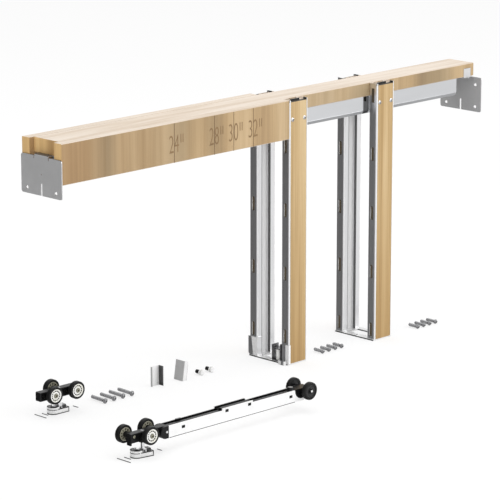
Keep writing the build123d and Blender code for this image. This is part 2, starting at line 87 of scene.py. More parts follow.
class Finish:
    def __init__(self, name, tree=None):
        self.material = None
        if tree is None:
            self.material = bpy.data.materials.new(name)
            self.material.use_nodes = True
            tree = self.material.node_tree
        self.tree = tree
        self.tree.nodes.clear()

    # any node: its type, its settings, which are set first, and its sockets' values or links
    def node(self, kind, settings=None, inputs=None, out=0):
        made = self.tree.nodes.new("ShaderNode" + kind)
        for key, value in (settings or {}).items():
            if key == "stops":
                while len(made.color_ramp.elements) < len(value):
                    made.color_ramp.elements.new(0.5)
                for element, (place, colour) in zip(made.color_ramp.elements, value):
                    element.position = place
                    element.color = (*colour, 1.0)
            else:
                setattr(made, key, value)
        for key, value in (inputs or {}).items():
            self.plug(made.inputs[key], value)
        return Wire(self, made.outputs[out]) if made.outputs else None

    def plug(self, socket, value):
        if isinstance(value, Wire):
            self.tree.links.new(value.socket, socket)
        elif isinstance(value, tuple) and len(value) == 3 and socket.type == "RGBA":
            socket.default_value = (*value, 1.0)
        else:
            socket.default_value = value

    def facing(self, axis):
        # the surface's own direction along one axis, from -1 to 1
        return self.node("SeparateXYZ", {}, {0: self.node("TexCoord", out="Normal")}, out=axis)

    def along(self, axis):
        # the place on the piece along one axis, in metres
        return self.node("SeparateXYZ", {}, {0: self.node("TexCoord", out="Object")}, out=axis)

    def noise(self, stretch, detail, roughness, turn=(0, 0, 0)):
        place = {"Vector": self.node("TexCoord", out="Object"), "Scale": stretch, "Rotation": turn}
        inputs = {"Vector": self.node("Mapping", {}, place), "Scale": 1.0, "Detail": detail, "Roughness": roughness}
        return self.node("TexNoise", {}, inputs)

    def ramp(self, factor, stops):
        return self.node("ValToRGB", {"stops": stops}, {"Fac": factor})

    def blend(self, factor, first, second, kind="MIX"):
        # sockets 6 and 7 take the two colours, and output 2 gives the mixed one
        settings = {"data_type": "RGBA", "blend_type": kind}
        return self.node("Mix", settings, {"Factor": factor, 6: first, 7: second}, out=2)

    def tint(self, first, second):
        return self.blend(1.0, first, second, "MULTIPLY")

    def span(self, value, low, high, toLow=0.0, toHigh=1.0):
        inputs = {"Value": value, "From Min": low, "From Max": high, "To Min": toLow, "To Max": toHigh}
        return self.node("MapRange", {}, inputs)

    def rough(self, pattern, low, high):
        # most of a noise lies between 0.3 and 0.7
        return self.span(pattern, 0.3, 0.7, low, high)

    def cloudy(self, colour, stretch, darker):
        # the colour, with patches a little darker
        cloud = self.noise(stretch, detail=3.0, roughness=0.5)
        return self.ramp(cloud, [(0.35, dimmed(colour, darker)), (0.65, colour)])

    def bump(self, height, strength, distance=0.0002):
        return self.node("Bump", {}, {"Height": height, "Strength": strength, "Distance": distance})

    def shine(self, **sockets):
        names = {"baseColor": "Base Color", "roughness": "Roughness", "metallic": "Metallic", "normal": "Normal",
                 "coatWeight": "Coat Weight", "specular": "Specular IOR Level"}
        inputs = {names[key]: value for key, value in sockets.items()}
        surface = self.node("BsdfPrincipled", {}, inputs)
        self.node("OutputMaterial", {}, {"Surface": surface})
        return self.material


def tone(red, green, blue):
    # a screen colour of 0 to 255 as a linear one
    return tuple(((v / 255 + 0.055) / 1.055) ** 2.4 if v > 10 else v / 255 / 12.92 for v in (red, green, blue))


def dimmed(colour, share):
    return tuple(v * share for v in colour)


def headerTimber():
    look = {"dark": tone(160, 131, 94), "mid": tone(190, 163, 124), "light": tone(214, 190, 154),
            "topDark": tone(203, 184, 162), "topLight": tone(224, 211, 196), "knot": tone(140, 124, 98),
            "knotShare": 0.6, "ends": (1.34, 1.22, 0.92), "endFaces": -0.7, "topFaces": 0.6,
            "broad": 0.60, "middle": 0.27, "fine": 0.13, "topBroad": 0.65, "topFine": 0.35, "rough": (0.44, 0.58)}
    # how the wood's tone drifts along the header, from the doorway's end to the pocket's
    drift = [(-0.510, (0.82, 0.72, 0.61)), (-0.462, (0.80, 0.71, 0.60)), (-0.418, (0.53, 0.49, 0.42)),
             (-0.394, (0.76, 0.69, 0.59)), (-0.343, (0.76, 0.70, 0.61)), (-0.222, (0.90, 0.85, 0.76)),
             (-0.062, (1.00, 0.97, 0.91)), (0.064, (0.78, 0.76, 0.72)), (0.265, (0.98, 0.96, 0.91))]
    f = Finish("headerTimber")
    broad = f.noise((16, 16, 1.0), detail=2.0, roughness=0.5)
    middle = f.noise((70, 70, 2.0), detail=4.0, roughness=0.6)
    fine = f.noise((420, 420, 6.0), detail=4.0, roughness=0.6)
    bands = broad * look["broad"] + middle * look["middle"] + fine * look["fine"]
    sides = f.ramp(bands, [(0.34, look["dark"]), (0.48, look["mid"]), (0.62, look["light"])])
    knots = f.span(f.noise((9, 9, 1.6), detail=1.0, roughness=0.4, turn=(0, 0.12, 0)), 0.56, 0.70)
    sides = f.blend(knots * look["knotShare"], sides, look["knot"])
    first, last = drift[0][0], drift[-1][0]
    warm = f.ramp(f.span(f.along("X"), first, last), [((x - first) / (last - first), shade) for x, shade in drift])
    ends = f.tint(sides, look["ends"])
    sides = f.blend(f.facing("X") < look["endFaces"], f.tint(sides, warm), ends)
    # the top is painted paler and less warm than the sides: partly the wood's own tone, partly a painted sheen for
    # the light it catches; it also shows long streaks
    long = f.noise((2.2, 46, 46), detail=4.0, roughness=0.6)
    short = f.noise((9, 300, 300), detail=3.0, roughness=0.5)
    streaks = long * look["topBroad"] + short * look["topFine"]
    top = f.ramp(streaks, [(0.40, look["topDark"]), (0.58, look["topLight"])])
    colour = f.blend(abs(f.facing("Z")) > look["topFaces"], sides, top)
    return f.shine(baseColor=colour, roughness=f.rough(fine, *look["rough"]),
                   normal=f.bump(fine, strength=0.10, distance=0.0004))


def studTimber():
    look = {"dark": tone(180, 147, 96), "mid": tone(203, 173, 125), "light": tone(217, 191, 146), "broad": 0.6,
            "fine": 0.4, "foot": (0.80, 0.73, 0.60), "footSpan": (0.02, 0.42), "shade": tone(84, 74, 56),
            "end": tone(40, 36, 28), "endLight": tone(224, 211, 196), "shadeFrom": 0.0355, "slotFaces": 0.7,
            "topFaces": 0.7, "rough": (0.46, 0.60)}
    f = Finish("studTimber")
    broad = f.noise((60, 60, 0.9), detail=3.0, roughness=0.5)
    fine = f.noise((460, 460, 5.0), detail=4.0, roughness=0.6)
    grain = broad * look["broad"] + fine * look["fine"]
    colour = f.ramp(grain, [(0.36, look["dark"]), (0.5, look["mid"]), (0.64, look["light"])])
    warm = f.ramp(f.span(f.along("Z"), *look["footSpan"]), [(0.0, look["foot"]), (0.75, (1.0, 1.0, 1.0))])
    # painted shade: the sides, seen through the nail slots only, are dark; the top is painted dark past the board,
    # where it lies in the strip's hollow, and takes the header top's pale tone beside the board
    colour = f.blend(abs(f.facing("X")) > look["slotFaces"], f.tint(colour, warm), look["shade"])
    end = f.blend(abs(f.along("Y")) > look["shadeFrom"], look["endLight"], look["end"])
    colour = f.blend(f.facing("Z") > look["topFaces"], colour, end)
    return f.shine(baseColor=colour, roughness=f.rough(fine, *look["rough"]),
                   normal=f.bump(fine, strength=0.10, distance=0.0003))


def metal(name, colour, rough, stretch=(300, 300, 300), spread=0.05, share=1.0, shadedAxis=None, shadeTone=None):
    # share is how far it is bare metal; faces along shadedAxis, such as a sheet's edges, get shadeTone as painted
    # shade
    look = {"patches": (30, 30, 30), "darker": 0.94, "shadedFaces": 0.7, "grain": 0.03}
    f = Finish(name)
    lines = f.noise(stretch, detail=4.0, roughness=0.6)
    shade = f.cloudy(colour, look["patches"], look["darker"])
    # painted shade on the faces along the shaded axis
    if shadedAxis:
        shade = f.blend(abs(f.facing(shadedAxis)) > look["shadedFaces"], shade, shadeTone)
    roughness = f.rough(lines, rough - spread, rough + spread)
    return f.shine(baseColor=shade, metallic=share, roughness=roughness, normal=f.bump(lines, look["grain"]))


def channelSteel():
    # zinc-plated strip, drawn lengthwise; the groove floor of each pair is painted lighter towards its wall as
    # painted light against the shade there, and the lips are painted white as a highlight
    look = {"colour": (0.93, 0.93, 0.94), "grooveFloor": tone(219, 219, 220), "white": (0.98, 0.98, 0.98),
            "rough": (0.26, 0.36), "centres": (0.0, 0.21), "flatFaces": 0.9, "nearFaces": -0.5, "grain": 0.03,
            "floor": 0.0098, "lip": (0.0186, 0.03),
            "bend": -0.0106, "bendWide": 0.0014, "bendShade": 0.25,
            "wall": 0.0125, "wallDepth": 0.0335, "wallShade": 0.19,
            "inside": 0.0213, "web": 0.0285, "front": 0.0446, "rim": studTop - 0.0035,
            "fromBoard": 0.0355, "rimShade": (0.03, 0.03, 0.03), "rimLight": tone(224, 211, 196)}
    f = Finish("channelSteel")
    drawn = f.noise((700, 700, 4), detail=4.0, roughness=0.6)
    shade = f.cloudy(look["colour"], (30, 30, 8), 0.95)
    bare = 1.0
    depth = abs(f.along("Y"))
    flat = abs(f.facing("Y")) > look["flatFaces"]
    for centre in look["centres"]:
        offset = f.along("X") - centre
        across = abs(offset)
        groove = (across < look["floor"]) * flat
        lip, lipEnd = look["lip"]
        # painted highlight: the lips are white
        lipHighlight = (across > lip) * (across < lipEnd) * flat
        # painted light: the groove floor lightens towards its wall
        lift = f.span(offset, -look["floor"], look["floor"])
        shade = f.blend(groove, shade, f.blend(lift, look["grooveFloor"], look["white"]))
        shade = f.blend(lipHighlight, shade, look["white"])
        bare = bare - groove - lipHighlight
        # painted shade: a dark line for the reflection on the rounded bend, and the groove's wall made dark
        bend = f.span(abs(offset - look["bend"]), 0.0, look["bendWide"], toLow=1.0, toHigh=0.0)
        bend = bend * (f.facing("Y") < look["nearFaces"])
        shade = f.blend(bend, shade, dimmed(look["colour"], look["bendShade"]))
        wall = (across < look["wall"]) * (f.facing("X") < -look["flatFaces"]) * (depth < look["wallDepth"])
        shade = f.blend(wall, shade, dimmed(look["colour"], look["wallShade"]))
        # painted shade: the rim round the strip's top end is dark past the board, where the hollow lies in shade,
        # and takes the header top's pale tone beside the board
        rim = (across < look["inside"]) * (depth > look["web"]) * (depth < look["front"])
        rim = rim * (f.along("Z") > look["rim"])
        shade = f.blend(rim, shade, f.blend(depth > look["fromBoard"], look["rimLight"], look["rimShade"]))
        bare = bare - rim * bare
    roughness = f.rough(drawn, *look["rough"])
    return f.shine(baseColor=shade, metallic=bare, roughness=roughness, normal=f.bump(drawn, look["grain"]))


def trackMetal():
    # bright drawn track, with a painted dark reflection of the second stud's side beside it
    look = {"colour": (0.80, 0.81, 0.83), "mirror": (0.1742, 0.1876), "mirrorShade": 0.16, "soft": 0.0006,
            "sideFaces": 0.8, "rough": (0.09, 0.19), "grain": 0.03}
    f = Finish("trackMetal")
    drawn = f.noise((4, 700, 700), detail=4.0, roughness=0.6)
    shade = f.cloudy(look["colour"], (6, 30, 30), 0.95)
    x = f.along("X")
    low, high = look["mirror"]
    # painted reflection: a dark strip beside the stud on the track's sides
    strip = f.span(x, low - look["soft"], low + look["soft"]) * (x < high)
    strip = strip * (abs(f.facing("Y")) > look["sideFaces"])
    shade = f.blend(strip, shade, dimmed(look["colour"], look["mirrorShade"]))
    roughness = f.rough(drawn, *look["rough"])
    return f.shine(baseColor=shade, metallic=1.0, roughness=roughness, normal=f.bump(drawn, look["grain"]))


def clipSteel(name, edges, slope=0.0, whiteFront=0.0):
    # folded sheet whose side towards the doorway is split into lit and shaded copies: painted bright outside two
    # lines, and left dark metal between them for shade
    look = {"metal": (0.88, 0.88, 0.89), "bright": tone(214, 214, 214), "white": (0.95, 0.95, 0.95),
            "soft": 0.0008, "faces": -0.8, "frontDull": 0.9, "rough": (0.26, 0.34), "grain": 0.02}
    f = Finish(name)
    cloud = f.noise((60, 60, 60), detail=3.0, roughness=0.5)
    across = f.along("Y") - f.along("Z") * slope
    low, high = (f.span(across, edge - look["soft"], edge + look["soft"]) for edge in edges)
    # painted light: the bright mask, where the sheet is made a lit pale copy
    bright = (1 - low * (1 - high)) * (f.facing("X") < look["faces"])
    front = (f.facing("Y") < look["faces"]) * whiteFront
    shade = f.cloudy(look["metal"], (60, 60, 60), 0.95)
    colour = f.blend(front, f.blend(bright, shade, look["bright"]), look["white"])
    return f.shine(baseColor=colour, metallic=1 - bright - front * look["frontDull"],
                   roughness=f.rough(cloud, *look["rough"]), normal=f.bump(cloud, look["grain"]))


def plastic(name, colour, rough, specks=0.03, coat=0.0, specular=0.5):
    look = {"lighter": 1.25, "lift": 0.002, "spread": 0.06}
    f = Finish(name)
    grain = f.noise((900, 900, 900), detail=3.0, roughness=0.5)
    cloud = f.noise((60, 60, 60), detail=2.0, roughness=0.5)
    patch = tuple(min(1.0, v * look["lighter"] + look["lift"]) for v in colour)
    shade = f.ramp(cloud, [(0.35, colour), (0.7, patch)])
    roughness = f.rough(grain, rough - look["spread"], rough + look["spread"])
    return f.shine(baseColor=shade, roughness=roughness, normal=f.bump(grain, specks), coatWeight=coat,
                   specular=specular)


sheetTone = (0.76, 0.76, 0.765)
finishes = {
    "header_timber": headerTimber(),
    "stud_timber": studTimber(),
    "track_aluminium": trackMetal(),
    "channel_steel": channelSteel(),
    "sheet_steel": metal("sheetSteel", sheetTone, 0.40, share=0.62),
    "fastener_steel": metal("fastenerSteel", (0.88, 0.88, 0.89), 0.16),
    "black_plastic": plastic("blackPlastic", (0.004, 0.004, 0.0045), 0.30, specular=0.28),
    "black_tyre": plastic("blackTyre", (0.006, 0.006, 0.006), 0.45, specular=0.28),
    "cream_hub": plastic("creamHub", tone(243, 242, 230), 0.30),
    "white_nylon": plastic("whiteNylon", tone(232, 232, 228), 0.35),
    "white_housing": plastic("whiteHousing", tone(246, 246, 246), 0.30),
    "bumper_rubber": plastic("bumperRubber", (0.008, 0.008, 0.008), 0.45, specular=0.3),
}
extraFinishes = {
    "burntMark": plastic("burntMark", tone(106, 80, 52), 0.60),
    "paleMark": plastic("paleMark", tone(136, 108, 72), 0.60),
    "slotShade": plastic("slotShade", tone(74, 66, 54), 0.60),
    "guideSteel": metal("guideSteel", (0.36, 0.36, 0.37), 0.30, (200, 200, 40), spread=0.12),
    "brightSteel": metal("brightSteel", (0.95, 0.95, 0.95), 0.16),
    # near-black parts, and painted shade inside screw slots, hub gaps and rivet holes
    "blackAndGapShade": plastic("blackAndGapShade", (0.008, 0.008, 0.007), 0.50, specular=0.2),
    "greyRivet": metal("greyRivet", tone(150, 148, 130), 0.34, share=0.3),
    "paleSheet": metal("paleSheet", tone(244, 244, 244), 0.40, (60, 60, 60), share=0.0),
    "bracketSteel": metal("bracketSteel", sheetTone, 0.40, share=0.62, shadedAxis="Z", shadeTone=(0.12, 0.115, 0.11)),
    "plateSteel": metal("plateSteel", (0.90, 0.90, 0.90), 0.40, share=0.50, shadedAxis="X", shadeTone=(0.06, 0.06, 0.06)),
    # painted shade: the hubs' back faces in a darker olive-grey, partly their own tint
    "hubBackShade": plastic("hubBackShade", tone(158, 155, 138), 0.35),
    "greySheet": metal("greySheet", tone(176, 176, 176), 0.40, (900, 900, 6), share=0.0),
    "shadeSheet": metal("shadeSheet", (0.10, 0.10, 0.10), 0.30, (60, 60, 20)),
    "farClip": clipSteel("farClipSteel", (0.0353, 0.060), slope=0.12),
    "nearClip": clipSteel("nearClipSteel", (-0.039, -0.034), whiteFront=1.0),
    "greyPlastic": plastic("greyPlastic", tone(140, 140, 140), 0.35),
    "screwSteel": metal("screwSteel", (0.42, 0.42, 0.43), 0.24),
    "clearHead": plastic("clearHead", tone(238, 238, 238), 0.12, specks=0.01, coat=0.6),
    "darkHub": plastic("darkHub", (0.014, 0.014, 0.015), 0.30),
}
for row in frame["record"]["subparts"]:
    mesh = nodes[row["node"]].data
    mesh.materials.clear()
    mesh.materials.append(finishes[row["material_slot"]])
ownFinishes = {"foot_clip_far": "farClip", "foot_clip_near": "nearClip", "loose_nails": "screwSteel",
               "doorway_bracket": "bracketSteel", "pocket_bracket": "bracketSteel", "floor_plate_1": "plateSteel",
               "floor_plate_2": "plateSteel", "guide_frame": "guideSteel"}
for node, finish in ownFinishes.items():
    nodes[node].data.materials[0] = extraFinishes[finish]
print("finishes made:", len(finishes) + len(extraFinishes))


weldGap = 0.002        # points nearer than this are joined, in millimetres
sharpAngle = 32        # edges that turn further than this stay crisp, in degrees


# a piece is gathered from parts, each made about its own axis and then put in place, in millimetres
class Piece:
    def __init__(self, name, slotName, looks):
        self.name = name
        self.slotName = slotName
        self.looks = looks
        self.mesh = bmesh.new()

    def add(self, part, place, look=0, smooth=True):
        bmesh.ops.remove_doubles(part, verts=part.verts, dist=weldGap)
        bmesh.ops.recalc_face_normals(part, faces=part.faces)
        for face in part.faces:
            face.material_index = look
            face.smooth = smooth
        metres = Matrix.Scale(0.001, 4)
        bmesh.ops.transform(part, matrix=metres @ place, verts=part.verts)
        data = bpy.data.meshes.new(self.name)
        part.to_mesh(data)
        self.mesh.from_mesh(data)
        bpy.data.meshes.remove(data)
        part.free()

    def close(self, body, *replaced):
        data = bpy.data.meshes.new(self.name)
        self.mesh.to_mesh(data)
        self.mesh.free()
        data.set_sharp_from_angle(angle=radians(sharpAngle))
        made = bpy.data.objects.new(self.name, data)
        bpy.context.scene.collection.objects.link(made)
        for look in self.looks:
            data.materials.append(look)
        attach(made, body)
        if replaced:
            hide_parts(*replaced)


def at(x=0.0, y=0.0, z=0.0):
    return Matrix.Translation((x, y, z))


def turned(axis, angle):
    return Matrix.Rotation(radians(angle), 4, axis)


def about(centre, width):
    return centre - width / 2, centre + width / 2


def corners(inner, outer, low, high):
    # the section of a flat ring, as (radius, height) points
    return [(inner, low), (outer, low), (outer, high), (inner, high)]


def sweep(part, geom, steps, angle, merge=False, rise=0.0):
    # a turn about z, with an even rise at each step
    bmesh.ops.spin(part, geom=geom, steps=steps, use_merge=merge, cent=(0, 0, 0), axis=(0, 0, 1),
                   dvec=(0, 0, rise), angle=angle)


def outline(part, points, closed=False):
    # an open or closed line through (radius, height) points
    verts = [part.verts.new((radius, 0, height)) for radius, height in points]
    ends = verts[1:] + verts[:1] if closed else verts[1:]
    return verts + [part.edges.new(pair) for pair in zip(verts, ends)]


def lathe(profile, steps=40):
    # a full turn of (radius, height) points about z
    part = bmesh.new()
    sweep(part, outline(part, profile), steps, 2 * pi, merge=True)
    return part


def slab(x, y, z, bevel=0.0):
    part = bmesh.new()
    bmesh.ops.create_cube(part, size=1.0)
    stretch = Matrix.Diagonal((x[1] - x[0], y[1] - y[0], z[1] - z[0], 1))
    centre = at((x[0] + x[1]) / 2, (y[0] + y[1]) / 2, (z[0] + z[1]) / 2)
    bmesh.ops.transform(part, matrix=centre @ stretch, verts=part.verts)
    if bevel:
        bmesh.ops.bevel(part, geom=part.edges[:], offset=bevel, affect="EDGES", segments=2, profile=0.5,
                        material=-1)
    return part


# where a wheel or a whole hanger stands, read off the frame
def middle(node):
    low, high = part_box(node)
    return (low + high) / 2 * 1000


def hangerTurn(name):
    reach = middle(f"hub_{name}2") - middle(f"hub_{name}1")
    return degrees(atan2(reach.y, reach.x))


def hangerPlace(name):
    pair = (middle(f"hub_{name}1") + middle(f"hub_{name}2")) / 2
    centre = (pair + middle(f"hub_{name}3")) / 2
    return at(centre.x, centre.y, 0) @ turned("Z", hangerTurn(name))


def wheelPlace(node, name, side):
    # about the wheel's own axle, with z towards its outer face
    return at(*middle(node)) @ turned("Z", hangerTurn(name)) @ turned("X", -90 * side)


hangerSides = {"a1": -1, "a2": -1, "a3": 1, "b1": 1, "b2": 1, "b3": -1}
rearSides = {"rear_wheel_1": -1, "rear_wheel_2": 1}
still = Matrix.Identity(4)


def numeral(words, height, look):
    # a number as a mesh, with its lowest and highest x and y
    curve = bpy.data.curves.new("numeral", "FONT")
    curve.body = words
    curve.size = height / look["digitShare"]
    curve.extrude = look["digitDepth"]
    curve.offset = look["weight"]
    holder = bpy.data.objects.new("numeral", curve)
    bpy.context.scene.collection.objects.link(holder)
    bpy.context.view_layer.update()
    data = bpy.data.meshes.new_from_object(holder)
    part = bmesh.new()
    part.from_mesh(data)
    bpy.data.objects.remove(holder)
    bpy.data.meshes.remove(data)
    xs = [vert.co.x for vert in part.verts]
    ys = [vert.co.y for vert in part.verts]
    return part, (min(xs), max(xs)), (min(ys), max(ys))


def sizeMarks():
    # a line across the near fascia at each stock width, with its number and an inch sign
    look = {"places": ((-278.8, "24"), (-191.4, "28"), (-148.5, "30"), (-104.2, "32")), "face": -44.75,
            "lift": 0.12, "line": 0.9, "lineSpan": (379.7, 442.7), "digits": (-10.8, 9.8), "letters": (395.8, 423.8),
            "inch": (14.2, 18.8), "inchWide": 1.6, "inchLong": 13.5, "inchBevel": 0.05, "weight": -0.5,
            "digitShare": 0.72, "digitDepth": 0.06}
    depth = (look["face"] - look["lift"], look["face"])
    low, high = look["letters"]
    start, end = look["digits"]
    piece = Piece("sizeMarks", "header_timber", [extraFinishes["burntMark"], extraFinishes["paleMark"]])
    for x, words in look["places"]:
        piece.add(slab(about(x, look["line"]), depth, look["lineSpan"]), still, smooth=False)
        for stroke in look["inch"]:
            edges = about(x + stroke, look["inchWide"])
            piece.add(slab(edges, depth, (high - look["inchLong"], high), look["inchBevel"]), still, 1)
        part, (left, right), (foot, head) = numeral(words, high - low, look)
        stretch = Matrix.Diagonal(((end - start) / (right - left), (high - low) / (head - foot), 1, 1))
        place = at(x + start, sum(depth) / 2, low) @ turned("X", 90) @ stretch @ at(-left, -foot, 0)
        piece.add(part, place, 1, smooth=False)
    piece.close("frame")


def topSlotShades():
    # thin dark plates painted as the shaded inside of the second pair's upper nail slots, which close against the
    # board
    look = {"z": 422.5, "length": 24.0, "width": 6.0, "lift": 0.06}
    piece = Piece("topSlotShades", "channel_steel", [extraFinishes["slotShade"]])
    for node in ("stud_channel_near_2", "stud_channel_far_2"):
        low, high = (corner * 1000 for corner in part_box(node))
        y = about((low.y + high.y) / 2, look["width"])
        z = about(look["z"], look["length"])
        for x in ((low.x - look["lift"], low.x), (high.x, high.x + look["lift"])):
            piece.add(slab(x, y, z), still, smooth=False)
    piece.close("frame")


def studScrews():
    look = {"centres": (0.0, 210.0), "spread": 13.9, "z": 411.0, "face": 45.05, "slot": (4.4, 1.0),
            "cut": (0.9, 1.47), "turns": (20, 110),
            "head": [(0.0, 1.5), (1.4, 1.38), (2.5, 1.05), (3.2, 0.6), (3.6, 0.0)]}
    long, wide = look["slot"]
    for pair, centre in enumerate(look["centres"]):
        for side, name in ((-1, "near"), (1, "far")):
            piece = Piece(f"studScrews_{name}_{pair + 1}", "fastener_steel",
                          [extraFinishes["brightSteel"], extraFinishes["blackAndGapShade"]])
            for step in (-1, 1):
                place = at(centre + step * look["spread"], side * look["face"], look["z"]) @ turned("X", -90 * side)
                piece.add(lathe(look["head"], steps=24), place)
                for turn in look["turns"]:
                    cross = slab(about(0, long), about(0, wide), look["cut"])
                    piece.add(cross, place @ turned("Z", turn), 1, smooth=False)
            piece.close("frame")


def thread(length, outer, core, pitch):
    # a sharp ridge that climbs round the core
    look = {"perTurn": 16, "start": 0.8, "half": 0.62, "sink": 0.15}
    root = core - look["sink"]
    ridge = [(root, look["start"] - look["half"]), (outer, look["start"]), (root, look["start"] + look["half"])]
    turns = (length - 2 * look["start"]) / pitch
    part = bmesh.new()
    sweep(part, outline(part, ridge), int(turns * look["perTurn"]), 2 * pi * turns, rise=pitch / look["perTurn"])
    return part


def looseScrews():
    look = {"left": {"x": -378.4, "y": 44.4, "pitch": 19.1, "length": 37.0, "head": 4.4},
            "middle": {"x": 70.5, "y": -16.0, "pitch": 15.5, "length": 23.5, "head": 3.9},
            "right": {"x": 299.7, "y": -25.0, "pitch": 15.5, "length": 24.5, "head": 3.9},
            "count": 4, "outer": 2.9, "core": 2.2, "pitch": 2.4, "lean": 3.0, "flange": 1.3, "drum": 3.4, "spin": 35,
            "slot": (3.4, 0.9), "cut": (1.6, 2.12), "turns": (10, 100)}
    long, wide = look["slot"]
    for name in ("left", "middle", "right"):
        group = look[name]
        piece = Piece(f"screws_{name}", "fastener_steel", [extraFinishes["screwSteel"], extraFinishes["blackAndGapShade"]])
        head = group["head"]
        base = group["length"] - look["drum"]
        seat = base + look["flange"]
        core = [(0.0, 0.0), (1.5, 0.15), (look["core"], 1.2), (look["core"], base)]
        flange = [(0.0, 0.0), (head, 0.0), (head, look["flange"] * 0.6), (head * 0.86, look["flange"]),
                  (0.0, look["flange"])]
        dome = [(head * 0.66, 0.0), (head * 0.64, 1.3), (head * 0.52, 1.9), (head * 0.3, 2.1), (0.0, 2.1)]
        for count in range(look["count"]):
            lying = at(group["x"] + count * group["pitch"], group["y"], head)
            lying = lying @ turned("Z", -look["lean"]) @ turned("X", 90)
            spin = turned("Z", look["spin"] * count)
            piece.add(lathe(core, steps=20), lying)
            piece.add(thread(base, look["outer"], look["core"], look["pitch"]), lying @ spin)
            piece.add(lathe(flange, steps=32), lying @ at(0, 0, base))
            piece.add(lathe(dome, steps=32), lying @ at(0, 0, seat))
            for turn in look["turns"]:
                cross = slab(about(0, long), about(0, wide), [seat + z for z in look["cut"]])
                piece.add(cross, lying @ spin @ turned("Z", turn), 1, smooth=False)
        piece.close("frame", f"loose_screws_{name}")


def wheels():
    look = {"outer": [(2.6, 2.9), (3.6, 2.9), (3.8, 3.6), (5.3, 3.6), (5.6, 3.1), (8.5, 3.1), (8.8, 3.95),
                      (10.3, 3.95)],
            "inner": [(10.3, -3.95), (9.0, -3.95), (8.6, -2.6), (5.4, -2.6), (5.0, -3.6), (2.6, -3.6)],
            "ribs": 9, "rib": ((5.2, 8.8), (-0.5, 0.5), (-3.3, -2.5), 0.15), "ring": corners(3.4, 3.8, 3.62, 3.70),
            "dashes": 13, "dashShare": 0.76, "dash": corners(6.5, 8.3, 3.06, 3.18)}
    outer, inner, ring = look["outer"], look["inner"], look["ring"]
    step = 360 / look["dashes"]
    for name, side in hangerSides.items():
        piece = Piece(f"hubFace_{name}", "cream_hub", [finishes["cream_hub"], extraFinishes["blackAndGapShade"],
                                                       extraFinishes["hubBackShade"]])
        place = wheelPlace(f"hub_{name}", name[0], side)
        piece.add(lathe([inner[-1]] + outer + [inner[0]], steps=56), place)
        piece.add(lathe(inner, steps=56), place, 2)
        for rib in range(look["ribs"]):
            piece.add(slab(*look["rib"]), place @ turned("Z", rib * 360 / look["ribs"]), 1)
        piece.add(lathe(ring + ring[:1], steps=40), place, 1)
        for dash in range(look["dashes"]):
            arc = bmesh.new()
            sweep(arc, outline(arc, look["dash"], closed=True), 4, radians(step * look["dashShare"]))
            piece.add(arc, place @ turned("Z", dash * step), 1, smooth=False)
        piece.close(f"wheel_{name}", f"hub_{name}")
    print("hanger wheels made")


def rearWheels():
    look = {"tyre": [(10.2, -3.9), (12.6, -3.9), (14.0, -2.9), (14.2, -1.6), (14.2, 1.6), (14.0, 2.9),
                     (12.6, 3.9), (10.2, 3.9), (10.2, -3.9)],
            "hub": [(2.6, 2.7), (4.1, 2.7), (4.3, 3.5), (5.2, 3.5), (5.6, 2.6), (9.3, 2.6), (9.8, 3.6), (10.2, 3.6),
                    (10.2, -3.5), (9.6, -3.5), (9.0, -2.4), (2.6, -2.4), (2.6, 2.7)]}
    for node, side in rearSides.items():
        piece = Piece(f"rearWheel_{node[-1]}", "black_tyre", [finishes["black_tyre"], extraFinishes["darkHub"]])
        place = wheelPlace(node, "b", side)
        piece.add(lathe(look["tyre"], steps=56), place)
        piece.add(lathe(look["hub"], steps=48), place, 1)
        piece.close(f"wheel_rear_{node[-1]}", node)


def rivets():
    look = {"gap": 4.35, "body": 6.5, "height": 35.0, "spread": {"1": -22.0, "2": 22.0, "3": 0.0},
            "head": [(0.0, 1.05), (1.5, 1.05), (1.7, 1.35), (2.5, 1.2), (3.2, 0.92), (3.45, 0.3), (3.45, -0.15)],
            "core": [(0.0, 1.12), (1.5, 1.12), (1.5, 0.95)],
            "rearCore": [(0.0, 2.0), (1.0, 1.9), (1.9, 1.45), (1.9, 1.0)],
            "farHead": [(0.0, 0.9), (1.6, 0.7), (2.3, 0.1), (2.3, -0.2)]}
    piece = Piece("axleRivets", "fastener_steel",
                  [extraFinishes["greyRivet"], extraFinishes["blackAndGapShade"], extraFinishes["brightSteel"]])
    for name, side in hangerSides.items():
        place = wheelPlace(f"hub_{name}", name[0], side) @ at(0, 0, look["gap"])
        piece.add(lathe(look["head"], steps=28), place)
        piece.add(lathe(look["core"], steps=20), place, 1)
    for node, side in rearSides.items():
        place = wheelPlace(node, "b", side) @ at(0, 0, look["gap"])
        piece.add(lathe(look["head"], steps=28), place, 1)
        piece.add(lathe(look["rearCore"], steps=24), place, 2)
    # the other end of each axle shows as a bright head on the body's far side from its wheel
    for name, side in hangerSides.items():
        centre = at(look["spread"][name[1]], -side * look["body"], look["height"])
        piece.add(lathe(look["farHead"], steps=24), hangerPlace(name[0]) @ centre @ turned("X", 90 * side))
    piece.close("frame")


def band(radius, wall, low, high):
    # half an upright ring, from -Y round by -X to +Y
    part = bmesh.new()
    verts = [part.verts.new((0, -r, z)) for r, z in corners(radius - wall, radius, low, high)]
    part.faces.new(verts)
    sweep(part, part.faces[:] + part.edges[:] + verts, 28, -pi)
    return part


